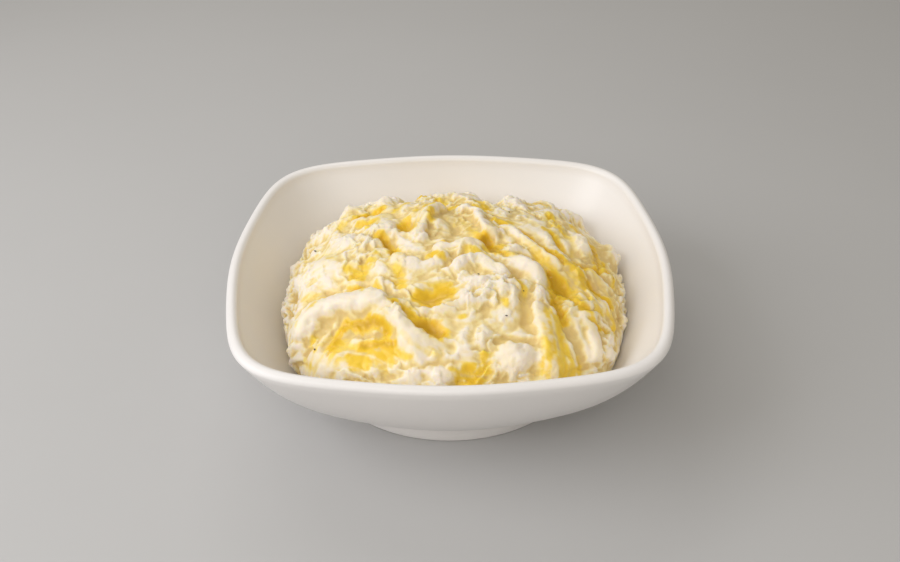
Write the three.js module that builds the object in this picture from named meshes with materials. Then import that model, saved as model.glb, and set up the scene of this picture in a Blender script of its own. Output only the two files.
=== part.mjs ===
// A side of mashed potato, heaped in the porcelain bowl it is served in.
// Millimetres, +Z up. The origin is the middle of the foot ring, on the table; -Y is the front.
import * as THREE from 'three';

const TAU = 2 * Math.PI;

// ---- Driving dimensions ----------------------------------------------------------------------

const BOWL = {
  halfWidth: 80, // across the flats of the square-shouldered rim
  height: 47,
  wall: 4, // thickness of the porcelain at the lip
  lipRise: 2, // how far the rounded lip stands over the straight wall
  squareGrowth: 0.38, // how soon the round bottom turns square on the way up
};
const SQUARE = { power: 5.4, bow: 0.069 }; // the rim's outline: corner tightness, bowed sides
const FOOT = { radius: 50, innerRadius: 45, height: 8, bevel: 0.8, recess: 1.2 };
const OUTSIDE = { bottom: 33, from: FOOT.height, flare: 0.3 }; // half width at the height 'from'
const INSIDE = { bottom: 38, from: 12, flare: 0.34 };

const HEAP = {
  halfWidth: 65,
  crown: 54, // height of the smooth heap, before its folds
  widest: 29, // height at which it is widest
  squareShare: 0.58, // how much of the rim's squareness its plan has
  planPower: 2.1, // 2 would be an ellipse in section
  risePower: 1.8,
  middle: [1.5, 1],
  undercut: 0.035, // how the side draws in under the widest level
  gap: 0.35, // air between the heap and the porcelain
};
// Fineness of the heap's surface, and the places round a point whose relief it takes the mean of.
const GRAIN = {
  rings: 36, arcSteps: 200, around: [[0, 0], [1.3, 0], [-1.3, 0], [0, 1.3], [0, -1.3]],
};
const BOWL_GRAIN = { round: 80, inside: 9, lip: 6, outside: 6 }; // segments round and up the bowl

// Folds of the heap, in millimetres over its surface from the crown: right is +, back is +.
// Each is [points that the crest passes through], half width, height, lean.
// A negative height is a crease. A positive lean is steep on the left of the way along.
const FOLDS = [
  // the rolled edge of the scoop at the front left, and what lies round it
  [[[-61, -50], [-57, -41], [-49, -34], [-38, -33], [-28, -35], [-20, -43], [-16, -51], [-11, -61]],
    9, 4.6, -0.3],
  [[[-60, -30], [-49, -24], [-36, -24], [-26, -28], [-20, -34]], 5, -2.2, -0.4],
  [[[-38, -46.5], [-32, -48], [-25, -48.5]], 2.4, 1.0, 0.2],
  [[[-48, -50], [-45, -44], [-40, -39]], 2.2, -1.0, 0.2],
  [[[-23, -33], [-17, -39], [-12, -45], [-5, -51]], 4.2, -2.2, -0.5],
  [[[-8, -57], [-3, -58.5], [2, -58]], 2.2, 1.2, 0],
  [[[-24, -67], [-11, -63], [1, -64]], 6, 2, 0.4],
  // the torn ridge in the middle and the pool's rim
  [[[-4, -21], [3, -16], [9, -14], [15, -19], [20, -24]], 4.6, 3.2, 0.5],
  [[[-15, -37], [-8, -38.5], [0, -36], [5, -31]], 3, 1.7, 0.3],
  [[[-22, -10], [-15, -14], [-8, -14.5], [-2, -11]], 4, 2, 0.6],
  [[[-28, 5], [-25, 1], [-22, -6], [-19, -11]], 3.4, -2.4, -0.4],
  // the steps over the crown
  [[[-7, -5], [-1, -6.5], [4, -4.5], [11, -7]], 4.6, 2.8, 0.6],
  [[[-11, -1], [-11, 10], [-8, 19], [-3, 25.5]], 4.2, 3.4, -0.35],
  [[[1, 24], [8, 21.5], [11.5, 10], [14, 4], [19, 6]], 3.8, 3, -0.3],
  [[[-9, 38], [-1, 41], [8, 35]], 5, 2, 0.3],
  [[[11, 2], [13.5, -4], [16, -10]], 4.2, -3, -0.2],
  // the long smears down the right side
  [[[19, 12], [24, 4.5], [29, -2], [34, -7.5], [40, -13]], 3.6, 2.2, -0.2],
  [[[24, 11], [27, 8], [30, 3], [34, -3], [38.5, -7.5]], 2.4, -1.5, 0.3],
  [[[20, -9], [26, -9], [31, -12], [35, -18]], 2.2, -1.8, -0.2],
  [[[30, 12], [35, 3], [40, -4], [44, -13], [48, -24]], 3.8, 1.2, -0.2],
  [[[36, 13], [41, 3], [46, -7], [50, -15]], 2.6, -0.9, 0],
  [[[46, -7], [51, -6.5], [56, -4.5], [57, 4]], 2.2, -1.6, 0],
  [[[49, -9], [55, -11], [62, -14]], 3.6, 1.7, 0.4],
  [[[49, -15], [55, -19], [62, -22]], 2.6, -1.2, 0],
  // the wedge at the front right and the smooth cut beside it
  [[[29, -30], [30, -42], [31, -54], [31, -66]], 6, 3, -0.45],
  [[[22, -30], [25, -38], [26, -48]], 4, -1.3, 0],
  [[[34, -31], [39, -40], [44, -50], [49, -59]], 3.4, -1.8, -0.3],
  [[[47, -33], [50, -42], [53, -54]], 5, 1.8, 0],
  [[[46, -40], [48, -47], [51, -54]], 1.5, -0.7, 0],
  [[[53, -38], [55, -46], [57, -52]], 1.6, -0.8, 0],
  [[[42, -30], [46, -30], [50, -31]], 2, 1.5, 0],
  [[[47, -36.5], [59, -37]], 1.8, -1.5, 0],
  [[[13, -52], [20, -49.5], [28, -50.5]], 2.6, -1.5, 0.4],
  // round the back
  [[[-52, 18], [-41, 36], [-20, 47], [6, 50], [30, 44]], 7, 1.2, 0.3],
  [[[34, 54], [44, 48], [50, 40]], 6, 1, 0.3],
];
// Lumps and hollows: [right, back, half length, half width, turn in degrees, height].
const LUMPS = [
  [-33, -49, 13, 8, 0, -2.4],
  [-30, -57, 10, 5, 0, -0.8],
  [-8.5, -47, 5, 4, -40, -1.5],
  [6, -52, 7, 6, 0, 1.8],
  [7, -64, 6, 3.5, 0, -2],
  [22, -57, 8, 6.5, 0, 3],
  [38, -60, 9, 8, 0, 2.2],
  [38, -22, 9, 5.5, -55, -2.6],
  [-8, -31, 9, 5.5, 10, -2.0],
  [12, -28, 12, 9, 0, 2.4],
  [18, -31, 5, 6, 0, 1.6],
  [30, -30.5, 3.5, 3, 0, 2.2],
  [27, -18, 8.5, 5.4, -43, 4.6],
  [-36, 8, 9, 7, 0, 3],
  [-25.5, 10, 7.5, 4.5, 75, 2.4],
  [-14, -3, 6, 4, 0, 1.4],
  [-31, 1, 5, 4, 0, 1.6],
  [-45, -6, 10, 9, 0, 2],
  [-64, -47, 5, 5, 0, 2],
  [-18, 11, 4, 6, 0, -2.6],
  [18, -3, 3, 2.6, 0, -1.8],
  [-34, 30, 8, 3, 20, -1.6],
  [-34, 20, 5, 2.5, 0, -1.5],
  [-36, -15, 5, 4, 0, -1.6],
  [-35, -24, 4, 3, -20, -1.6],
  [-20, -21, 3, 6, 0, -1.4],
  [20, 13, 4, 2, -20, -1.8],
  [40, 25, 3, 6, -10, -1.3],
  [-42, 36, 6, 6, 0, 2.2],
  [-28, 39, 3.4, 3.4, 0, 2.6],
  [-34, 48, 7, 9, 0, -2.4],
  [-19, 55, 5, 19, 0, -4.6],
  [2, 8, 8, 10, 0, -2.4],
  [16, 55, 6, 19, 0, -4.6],
  [24, 40, 5, 6, 0, 2.4],
  [41, 25, 6, 9, 0, 1.6],
  [49, 9, 10, 4.5, -70, 2.8],
  [54, 38, 9, 10, 0, -4.2],
  [-52, 38, 9, 8, 0, -2.4],
  [65, 19, 6, 9, 0, 3.2],
  [66, 2, 5, 8, 0, 1],
  [66, -13, 4, 5, 0, 1.6],
  [57, -25, 5, 3.5, -20, 1.6],
  [67, -28, 5, 10, 0, -1.5],
  [-66, -14, 6, 14, 0, -2.5],
  [10, 62, 14, 8, 0, 2.2],
  [-30, 58, 11, 8, 0, 2.4],
  [-58, 22, 12, 16, 0, -3],
];
// How torn the mash is, from 0 where a spoon has smoothed it to 1. The patches are lumps with that
// in place of a height; the rest of the heap is in between.
const TORN = 0.75;
const TORN_PATCHES = [
  [-42, -34, 20, 8, 0, 0.12],
  [-18, -50, 5, 11, 30, 0.15],
  [-30, -55, 14, 6, 0, 0.1],
  [27, -18, 9, 6, -43, 0.0],
  [48, -44, 8, 14, 15, 0.1],
  [35, -48, 7, 13, 15, 0.1],
  [-46, -8, 9, 9, 0, 0.3],
  [-8, -4, 12, 7, 0, 0.35],
  [-7, -31, 8, 5, 0, 0.1],
  [12, -27, 13, 10, 0, 0.9],
  [22, -57, 8, 7, 0, 0.6],
  [-4, -57, 14, 8, 0, 0.2],
  [8, -40, 14, 6, 0, 0.35],
  [-3, -45, 7, 6, 0, 0.45],
  [25, -42, 4, 9, 0, 0.15],
  [-36, 9, 9, 7, 0, 1.2],
  [30, -31, 4, 3, 0, 1.2],
  [44, -14, 11, 13, 0, 0.35],
  [2, 11, 11, 12, 0, 0.35],
  [56, -11, 8, 4, -15, 0.2],
  [0, 36, 30, 10, 0, 1.0],
  [-68, -15, 9, 26, 0, 1.0],
  [70, -10, 9, 30, 0, 1.0],
];
// Noise that makes it uneven between the patches.
const UNEVEN = { length: 20, share: 0.9, contrast: 1.4, least: 0.2, most: 1.25, seed: 65 };

// Lumps of every size between the folds: how long they are, how high, and their mean share.
const BEND = { length: 9, reach: 1.6, seed: 11 }; // how noise bends the folds and lumps above
const SWIRL = { length: 11, reach: 3, seed: 31 }; // and the lumps below
const LARGE = { length: 22, height: 4, mean: 0.36, seed: 41 };
const MEDIUM = { length: 7.5, height: 1.5, mean: 0.38, seed: 45 };
const CRAGS = { length: 7, height: 0.45, layers: 3, mean: 0.55, seed: 51 };
const FLAPS = {
  length: 16, height: 2, spacing: 10, edge: 0.86, ragged: 2.4, mean: 0.2, seed: 55,
};
const FLAP_PLACES = { length: 13, share: 0.5, contrast: 1.9, seed: 58 };
const SMOOTHED = { large: 0.45, fine: 0.06 }; // share of the lumps left where a spoon smoothed them
const SETTLE = { crown: 1.3, shoulder: 0.5, from: 20, over: 35 }; // leaves room for the lumps

const COLOURS = { porcelain: 0xe9e2da, mash: 0xf5e0b0 };

// ---- Outlines --------------------------------------------------------------------------------

// How far an outline between a circle and the rim's rounded square reaches at an angle, as a
// share of its half width.
function outline(angle, squareShare) {
  const [cos, sin] = [Math.abs(Math.cos(angle)), Math.abs(Math.sin(angle))];
  const square = (cos ** SQUARE.power + sin ** SQUARE.power) ** (-1 / SQUARE.power);
  const bowed = square * (1 - SQUARE.bow * Math.sin(2 * angle) ** 2);
  return 1 + squareShare * (bowed - 1);
}

// How square the bowl is at a height, from 0 at the foot to 1 at the rim.
function squareShare(z) {
  const rise = (z - OUTSIDE.from) / (BOWL.height - BOWL.lipRise - OUTSIDE.from);
  return THREE.MathUtils.clamp(rise, 0, 1) ** BOWL.squareGrowth;
}

const bowlOutline = (angle, z) => outline(angle, squareShare(z));
const heapOutline = (angle) => outline(angle, HEAP.squareShare);

// Half width of one face of the wall at a height.
function faceHalfWidth(face, rim, z) {
  const rise = (z - face.from) / (BOWL.height - BOWL.lipRise - face.from);
  return face.bottom + (rim - face.bottom) * THREE.MathUtils.clamp(rise, 0, 1) ** face.flare;
}

const insideHalfWidth = (z) => faceHalfWidth(INSIDE, BOWL.halfWidth - BOWL.wall, z);
const outsideHalfWidth = (z) => faceHalfWidth(OUTSIDE, BOWL.halfWidth, z);

// ---- Bowl ------------------------------------------------------------------------------------

// Heights from one level to another, closer together near the first, where the wall curves most.
function levels(from, to, count) {
  return Array.from({ length: count }, (_, i) => from + (to - from) * ((i + 1) / count) ** 2.6);
}

// The height at which the outside of the wall is as wide as the foot ring.
function footMeetsWall() {
  const share = (FOOT.radius - OUTSIDE.bottom) / (BOWL.halfWidth - OUTSIDE.bottom);
  return OUTSIDE.from + (BOWL.height - BOWL.lipRise - OUTSIDE.from) * share ** (1 / OUTSIDE.flare);
}

function bowlProfile() {
  const shoulder = BOWL.height - BOWL.lipRise;
  const lip = BOWL.halfWidth - BOWL.wall / 2;
  const under = FOOT.height - FOOT.recess;
  const points = [[0, INSIDE.from], [INSIDE.bottom, INSIDE.from]];
  for (const z of levels(INSIDE.from, shoulder, BOWL_GRAIN.inside)) {
    points.push([insideHalfWidth(z), z]);
  }
  for (let i = 1; i < BOWL_GRAIN.lip; i++) {
    const turn = Math.PI * (1 - i / BOWL_GRAIN.lip);
    points.push([lip + (BOWL.wall / 2) * Math.cos(turn), shoulder + BOWL.lipRise * Math.sin(turn)]);
  }
  const meets = footMeetsWall();
  for (const z of levels(meets, shoulder, BOWL_GRAIN.outside).reverse()) {
    points.push([outsideHalfWidth(z), z]);
  }
  points.push([FOOT.radius, meets], [FOOT.radius, FOOT.bevel], [FOOT.radius - FOOT.bevel, 0]);
  points.push([FOOT.innerRadius + FOOT.bevel, 0], [FOOT.innerRadius, FOOT.bevel]);
  points.push([FOOT.innerRadius, under], [0, under]);
  return points;
}

function bowlGeometry() {
  // The profile runs down the outside last, so it is turned over for faces that point out.
  const profile = bowlProfile().reverse().map(([r, z]) => new THREE.Vector2(r, z));
  const geometry = new THREE.LatheGeometry(profile, BOWL_GRAIN.round);
  geometry.rotateX(Math.PI / 2);
  const at = geometry.attributes.position;
  for (let i = 0; i < at.count; i++) {
    const angle = Math.atan2(at.getY(i), at.getX(i));
    const reach = bowlOutline(angle, at.getZ(i));
    at.setXY(i, at.getX(i) * reach, at.getY(i) * reach);
  }
  return geometry;
}

// ---- Relief of the heap ----------------------------------------------------------------------

// A fixed number from 0 to 1 for each cell of a grid.
function chance(i, j, seed) {
  const wave = Math.abs(Math.sin(127.1 * i + 311.7 * j + 74.7 * seed)) * 43758.5453;
  return wave - Math.floor(wave);
}

const eased = (share) => share * share * (3 - 2 * share);
const clamp = THREE.MathUtils.clamp;

// Gradient noise with waves of a given length, about -0.7 to 0.7.
function noise(u, v, length, seed) {
  const [x, y] = [u / length, v / length];
  const [i, j] = [Math.floor(x), Math.floor(y)];
  const [fx, fy] = [x - i, y - j];
  const corner = (di, dj) => {
    const turn = TAU * chance(i + di, j + dj, seed);
    return Math.cos(turn) * (fx - di) + Math.sin(turn) * (fy - dj);
  };
  const near = THREE.MathUtils.lerp(corner(0, 0), corner(1, 0), eased(fx));
  const far = THREE.MathUtils.lerp(corner(0, 1), corner(1, 1), eased(fx));
  return THREE.MathUtils.lerp(near, far, eased(fy));
}

// Noise of several lengths, each half as long and 'keep' times as strong, about -1 to 1.
function layered(u, v, length, seed, layers, keep) {
  let [total, most] = [0, 0];
  for (let k = 0; k < layers; k++) {
    total += keep ** k * noise(u, v, length / 2 ** k, seed + k);
    most += keep ** k;
  }
  return (1.4 * total) / most;
}

const moved = ({ length, reach, seed }, u, v) => [
  u + reach * noise(u, v, length, seed), v + reach * noise(u, v, length, seed + 1)];

// Height of a fold or lump at a share of the way from its middle to its edge.
const rounded = (share) => (share < 1 ? (1 - share * share) ** 2 : 0);

const LUMP_REACH = 1.25; // a lump fades out at this many times its half sizes
const PATCH_GAIN = 1.8; // makes a torn patch level in its middle
const FULL_WAVE = 2.2; // brings the height of a wave of noise up to about 1

// Each fold's crest as a smooth line cut into short steps.
function crestSteps(points) {
  const curve = new THREE.SplineCurve(points.map(([x, y]) => new THREE.Vector2(x, y)));
  return curve.getPoints(6 * (points.length - 1));
}
const CRESTS = FOLDS.map(([points, width, height, lean]) => (
  { steps: crestSteps(points), width, height, lean }));

function foldHeight({ steps, width, height, lean }, u, v) {
  let nearest = { distance: Infinity };
  for (let i = 0; i + 1 < steps.length; i++) {
    const [a, b] = [steps[i], steps[i + 1]];
    const [ex, ey] = [b.x - a.x, b.y - a.y];
    const share = clamp(((u - a.x) * ex + (v - a.y) * ey) / (ex * ex + ey * ey), 0, 1);
    const [dx, dy] = [u - a.x - share * ex, v - a.y - share * ey];
    const distance = Math.hypot(dx, dy);
    if (distance < nearest.distance) {
      nearest = { distance, left: ex * dy - ey * dx > 0, along: (i + share) / (steps.length - 1) };
    }
  }
  const reach = width * (nearest.left ? 1 - lean : 1 + lean);
  const fade = Math.min(1, 5 * nearest.along, 5 * (1 - nearest.along));
  return height * Math.sqrt(fade) * rounded(nearest.distance / reach);
}

// How much of an oval lump there is at a place, from 0 to 1.
function lumpShare([x, y, long, wide, turn], u, v) {
  const angle = THREE.MathUtils.degToRad(turn);
  const along = (u - x) * Math.cos(angle) + (v - y) * Math.sin(angle);
  const across = (v - y) * Math.cos(angle) - (u - x) * Math.sin(angle);
  return rounded(Math.hypot(along / long, across / wide) / LUMP_REACH);
}

// Rounded lumps of uneven size with creases between them, from 0 to about 1.
function billows(u, v, { length, seed }) {
  const whole = Math.abs(noise(u, v, length, seed));
  const smaller = Math.abs(noise(u, v, length / 2, seed + 1));
  return FULL_WAVE * THREE.MathUtils.lerp(whole, smaller, 1 / 3);
}

// Sharp crests with smaller crests on them, and smooth hollows between, as where mash tears.
function crags(u, v) {
  let [total, above] = [0, 1];
  for (let k = 0; k < CRAGS.layers; k++) {
    const wave = Math.abs(noise(u, v, CRAGS.length / 2 ** k, CRAGS.seed + k));
    const crest = clamp(1 - FULL_WAVE * wave, 0, 1) ** 2;
    total += 0.55 ** k * crest * above;
    above = clamp(1.5 * crest, 0, 1);
  }
  return total;
}

// Shingle-like flaps: each rises gently towards the crown and drops sharply behind its edge.
function flaps(u, v) {
  const field = FLAPS.ragged * layered(u, v, FLAPS.length, FLAPS.seed, 4, 0.6)
    - Math.hypot(u, v) / FLAPS.spacing;
  const step = field - Math.floor(field);
  const { length, share, contrast, seed } = FLAP_PLACES;
  const here = clamp(share + contrast * layered(u, v, length, seed, 2, 0.5), 0, 1);
  return here * (step < FLAPS.edge ? (step / FLAPS.edge) ** 1.6
    : eased((1 - step) / (1 - FLAPS.edge)));
}

const fineHeight = (u, v) => (
  MEDIUM.height * (billows(u, v, MEDIUM) - MEDIUM.mean)
  + CRAGS.height * (crags(u, v) - CRAGS.mean) + FLAPS.height * (flaps(u, v) - FLAPS.mean));

// How torn the mash is at a place.
function tornShare(u, v) {
  const drawn = TORN_PATCHES.reduce((sum, patch) => (
    sum + clamp(PATCH_GAIN * lumpShare(patch, u, v), 0, 1) * (patch[5] - sum)), TORN);
  const { length, share, contrast, least, most, seed } = UNEVEN;
  return drawn * clamp(share + contrast * layered(u, v, length, seed, 2, 0.5), least, most);
}

// The lumps between the folds, each less its own mean, so that the heap doesn't swell.
function lumpyHeight(u, v) {
  const torn = tornShare(u, v);
  const [su, sv] = moved(SWIRL, u, v);
  return THREE.MathUtils.lerp(SMOOTHED.large, 1, torn)
    * LARGE.height * (billows(su, sv, LARGE) - LARGE.mean)
    + THREE.MathUtils.lerp(SMOOTHED.fine, 1, torn) * fineHeight(su, sv);
}

function sharpRelief(u, v) {
  const [bu, bv] = moved(BEND, u, v);
  const folds = CRESTS.reduce((sum, crest) => sum + foldHeight(crest, bu, bv), 0);
  const lumps = LUMPS.reduce((sum, lump) => sum + lump[5] * lumpShare(lump, bu, bv), 0);
  return folds + lumps + lumpyHeight(u, v);
}

// Height of the relief over the smooth heap, at a place on its surface. It is the mean of a few
// places round that one, so that no fold or lump is sharper than the rings can show.
function relief(u, v) {
  const sum = GRAIN.around.reduce((total, [du, dv]) => total + sharpRelief(u + du, v + dv), 0);
  const far = clamp((Math.hypot(u, v) - SETTLE.from) / SETTLE.over, 0, 1);
  return sum / GRAIN.around.length - SETTLE.crown - SETTLE.shoulder * eased(far);
}

// ---- Heap of mashed potato -------------------------------------------------------------------

const RISE = HEAP.crown - HEAP.widest;
const QUARTER = 0.99999 * (Math.PI / 2); // a hair less than a quarter turn, where no power fails
const WALL_SLANT = 0.7; // share of a level gap that is left, measured square to the sloping wall

// A point of the smooth heap's section: its half width and its height over the widest level.
function sectionPoint(swing) {
  const side = HEAP.halfWidth * Math.sin(swing) ** (2 / HEAP.planPower);
  return [side, RISE * Math.cos(swing) ** (2 / HEAP.risePower)];
}

// The way over the section from the crown, step by step, so that rings can be spaced evenly.
function sectionArc() {
  const steps = [0];
  let [side, rise] = sectionPoint(0);
  for (let i = 1; i <= GRAIN.arcSteps; i++) {
    const [nextSide, nextRise] = sectionPoint((i / GRAIN.arcSteps) * QUARTER);
    steps.push(steps[i - 1] + Math.hypot(nextSide - side, nextRise - rise));
    [side, rise] = [nextSide, nextRise];
  }
  return steps;
}
const ARC = sectionArc();
const ARC_LENGTH = ARC[GRAIN.arcSteps];

function swingAt(share) {
  const target = share * ARC_LENGTH;
  const next = Math.max(1, ARC.findIndex((length) => length >= target - 1e-9));
  const part = (target - ARC[next - 1]) / (ARC[next] - ARC[next - 1]);
  return ((next - 1 + part) / GRAIN.arcSteps) * QUARTER;
}

// Keeps a point inside the bowl, with the gap of air to the porcelain.
function keepInside(point) {
  point.z = Math.max(point.z, INSIDE.from + HEAP.gap);
  const angle = Math.atan2(point.y, point.x);
  const room = insideHalfWidth(point.z) * bowlOutline(angle, point.z) - HEAP.gap / WALL_SLANT;
  const reach = Math.hypot(point.x, point.y);
  if (reach > room) point.multiply(new THREE.Vector3(room / reach, room / reach, 1));
  return point;
}

// A point of the top, at a share of the way from the crown to the widest level.
function topPoint(angle, share) {
  const swing = swingAt(share);
  const [side, rise] = sectionPoint(swing);
  const swell = heapOutline(angle);
  const out = (HEAP.planPower / HEAP.halfWidth) * (side / HEAP.halfWidth) ** (HEAP.planPower - 1);
  const up = (HEAP.risePower / RISE) * (rise / RISE) ** (HEAP.risePower - 1);
  const [cos, sin] = [Math.cos(angle), Math.sin(angle)];
  const normal = new THREE.Vector3(out * cos, out * sin, up).normalize();
  const way = share * ARC_LENGTH * swell;
  const [x, y] = HEAP.middle;
  const reach = side * swell;
  const smooth = new THREE.Vector3(x + reach * cos, y + reach * sin, HEAP.widest + rise);
  return keepInside(smooth.addScaledVector(normal, relief(way * cos, way * sin)));
}

// A point of the side under the widest level, where the relief fades out.
function sidePoint(angle, z) {
  const drop = HEAP.widest - z;
  const [x, y] = HEAP.middle;
  const way = (ARC_LENGTH + drop) * heapOutline(angle);
  const [cos, sin] = [Math.cos(angle), Math.sin(angle)];
  const bulge = relief(way * cos, way * sin) * Math.max(0, 1 - drop / 8);
  const side = (HEAP.halfWidth - HEAP.undercut * drop * drop) * heapOutline(angle) + bulge;
  return keepInside(new THREE.Vector3(x + side * cos, y + side * sin, z));
}

const floorPoint = (angle, radius) => new THREE.Vector3(
  radius * Math.cos(angle), radius * Math.sin(angle), INSIDE.from + HEAP.gap);

const ring = (count, place) => Array.from({ length: count }, (_, i) => place((TAU * i) / count));

// A closed skin over a stack of rings, each with its own number of points.
function skin(rings) {
  const points = rings.flat();
  const faces = [];
  let start = 0;
  for (let r = 0; r + 1 < rings.length; r++) {
    const [m, n] = [rings[r].length, rings[r + 1].length];
    const upper = (i) => start + (i % m);
    const lower = (j) => start + m + (j % n);
    const [upperSteps, lowerSteps] = [m > 1 ? m : 0, n > 1 ? n : 0];
    for (let i = 0, j = 0; i < upperSteps || j < lowerSteps;) {
      const lowerNext = i >= upperSteps || (j < lowerSteps && (j + 0.5) * m <= (i + 0.5) * n);
      if (lowerNext) faces.push(upper(i), lower(j), lower(++j));
      else faces.push(upper(i), lower(j), upper(++i));
    }
    start += m;
  }
  const geometry = new THREE.BufferGeometry().setFromPoints(points);
  geometry.setIndex(faces);
  return geometry;
}

function heapGeometry() {
  const rings = [[topPoint(0, 0)]];
  for (let k = 1; k <= GRAIN.rings; k++) {
    rings.push(ring(6 * k, (angle) => topPoint(angle, k / GRAIN.rings)));
  }
  const sides = [[26.5, 180], [23.5, 150], [20, 120], [16.5, 96], [14, 84], [13, 72]];
  for (const [z, count] of sides) rings.push(ring(count, (angle) => sidePoint(angle, z)));
  rings.push(ring(48, (angle) => floorPoint(angle, INSIDE.bottom - 1)));
  rings.push(ring(18, (angle) => floorPoint(angle, INSIDE.bottom / 2)));
  rings.push([floorPoint(0, 0)]);
  return skin(rings);
}

// ---- Assembly --------------------------------------------------------------------------------

function piece(name, geometry, colour, roughness) {
  const material = new THREE.MeshStandardMaterial({ color: colour, roughness, metalness: 0 });
  const mesh = new THREE.Mesh(geometry, material);
  mesh.name = name;
  return mesh;
}

const side = new THREE.Group();
side.add(piece('bowl', bowlGeometry(), COLOURS.porcelain, 0.25));
side.add(piece('mashed_potato', heapGeometry(), COLOURS.mash, 0.6));

export default side;
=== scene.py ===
# %% [markdown]
# # A side of mashed potato in its bowl
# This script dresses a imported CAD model: a square-shouldered porcelain bowl with a heap of mashed
# potato in it. The CAD part fixes the sizes. Here the bowl gets a fine surface and its glaze, and
# the heap gets its folds, torn crags, melted butter and pepper.
# Lengths are written in millimetres, as a potter or a cook would say them, and MM turns them into
# Blender's metres.

# %% Load the fixed frame
import math

import bpy
import numpy as np
from mathutils import Matrix, Vector


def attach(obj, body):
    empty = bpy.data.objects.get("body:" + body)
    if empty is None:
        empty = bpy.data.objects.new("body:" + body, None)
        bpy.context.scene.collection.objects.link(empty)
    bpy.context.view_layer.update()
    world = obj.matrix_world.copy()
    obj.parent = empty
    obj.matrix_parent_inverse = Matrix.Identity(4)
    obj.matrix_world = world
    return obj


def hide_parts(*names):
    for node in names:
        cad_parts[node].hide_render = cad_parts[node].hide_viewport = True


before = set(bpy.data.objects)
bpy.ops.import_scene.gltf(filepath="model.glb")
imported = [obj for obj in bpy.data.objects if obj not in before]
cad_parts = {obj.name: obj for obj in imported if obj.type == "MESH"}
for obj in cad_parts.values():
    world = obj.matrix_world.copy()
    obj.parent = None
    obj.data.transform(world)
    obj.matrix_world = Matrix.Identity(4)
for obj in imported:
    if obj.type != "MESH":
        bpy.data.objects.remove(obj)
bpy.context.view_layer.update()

MM = 0.001

# %% [markdown]
# ## The camera
# A product picture of a bowl is taken from about 33 degrees above the table, close enough that the
# near lip looks wider than the far one. The camera is set by where it aims, how far off it is, how
# high it stands and a small roll, and its axes are put straight into the matrix. A Track To
# constraint would do the same, but it can't roll.

# %% Place the camera
AIM = Vector((0, 0, 34.9)) * MM
DISTANCE = 425 * MM
ELEVATION = math.radians(33.35)
ROLL = math.radians(-0.5)
LENS = 45.7


def add_camera():
    back = Vector((0, -math.cos(ELEVATION), math.sin(ELEVATION)))
    right = Vector((1, 0, 0))
    up = back.cross(right)
    rolled_right = math.cos(ROLL) * right + math.sin(ROLL) * up
    rolled_up = math.cos(ROLL) * up - math.sin(ROLL) * right
    data = bpy.data.cameras.new("camera")
    data.lens = LENS
    camera = bpy.data.objects.new("camera", data)
    bpy.context.scene.collection.objects.link(camera)
    camera.matrix_world = Matrix.Translation(AIM + DISTANCE * back) @ Matrix(
        (rolled_right, rolled_up, back)
    ).transposed().to_4x4()
    return camera


bpy.context.scene.camera = add_camera()
print("camera at, mm:", [round(c / MM) for c in bpy.context.scene.camera.location])

# %% [markdown]
# ## Studio light
# Food is lit softly. One large window-like light from the upper left models the folds, two smaller
# ones from high in front and behind lift the near side and the rim, a trace comes from the right,
# and a pale room fills the shadows. The Standard view keeps the yellow of butter clean, where AgX
# would wash it out.

# %% Light the scene
LIGHTS = {
    # name: (place in mm, width and depth in mm, watts, colour)
    "window_left": ((-600, -190, 450), (600, 500), 3.08, (0.98, 0.995, 1.04)),
    "fill_right": ((520, -180, 320), (380, 380), 0.06, (0.97, 0.985, 1.0)),
    "top_back": ((-180, 360, 520), (500, 240), 0.7, (1.0, 0.995, 0.99)),
    "front_high": ((-50, -540, 450), (500, 300), 1.18, (1.0, 0.99, 0.98)),
}
ROOM = dict(colour=(1.0, 0.945, 0.85), strength=0.43)


def add_light(name, place, size, watts, colour):
    data = bpy.data.lights.new(name, "AREA")
    data.shape = "RECTANGLE"
    data.size, data.size_y = size[0] * MM, size[1] * MM
    data.energy = watts
    data.color = colour
    light = bpy.data.objects.new(name, data)
    light.location = Vector(place) * MM
    light.rotation_euler = (AIM - light.location).to_track_quat("-Z", "Y").to_euler()
    bpy.context.scene.collection.objects.link(light)


for light_name, (place, size, watts, colour) in LIGHTS.items():
    add_light(light_name, place, size, watts, colour)

world = bpy.data.worlds.new("pale room")
world.use_nodes = True
world.node_tree.nodes["Background"].inputs["Color"].default_value = (*ROOM["colour"], 1)
world.node_tree.nodes["Background"].inputs["Strength"].default_value = ROOM["strength"]
bpy.context.scene.world = world
bpy.context.scene.view_settings.view_transform = "Standard"
print("lights:", ", ".join(LIGHTS))

# %% [markdown]
# ## Outlines of the bowl and the heap
# The rim is a square with tight round corners and sides that bow out a little. A superellipse
# gives the corners, and a swell along the sides gives the bow. Lower down the outline turns into
# the circle of the foot. The functions are the same as in the CAD part, so the fine meshes lie on
# the CAD surface, and they work on whole numpy arrays at once.

# %% Outline functions
BOWL = dict(half_width=80, height=47, wall=4, lip_rise=2, square_growth=0.38)
SQUARE = dict(power=5.4, bow=0.069)
FOOT = dict(radius=50, inner_radius=45, height=8, bevel=0.8, recess=1.2)
OUTSIDE = dict(bottom=33, start=FOOT["height"], flare=0.30)
INSIDE = dict(bottom=38, start=12, flare=0.34)
SHOULDER = BOWL["height"] - BOWL["lip_rise"]


def outline(angle, square_share):
    """Reach of an outline between a circle and the rim's rounded square."""
    cos, sin = np.abs(np.cos(angle)), np.abs(np.sin(angle))
    square = (cos ** SQUARE["power"] + sin ** SQUARE["power"]) ** (-1 / SQUARE["power"])
    bowed = square * (1 - SQUARE["bow"] * np.sin(2 * angle) ** 2)
    return 1 + square_share * (bowed - 1)


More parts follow.
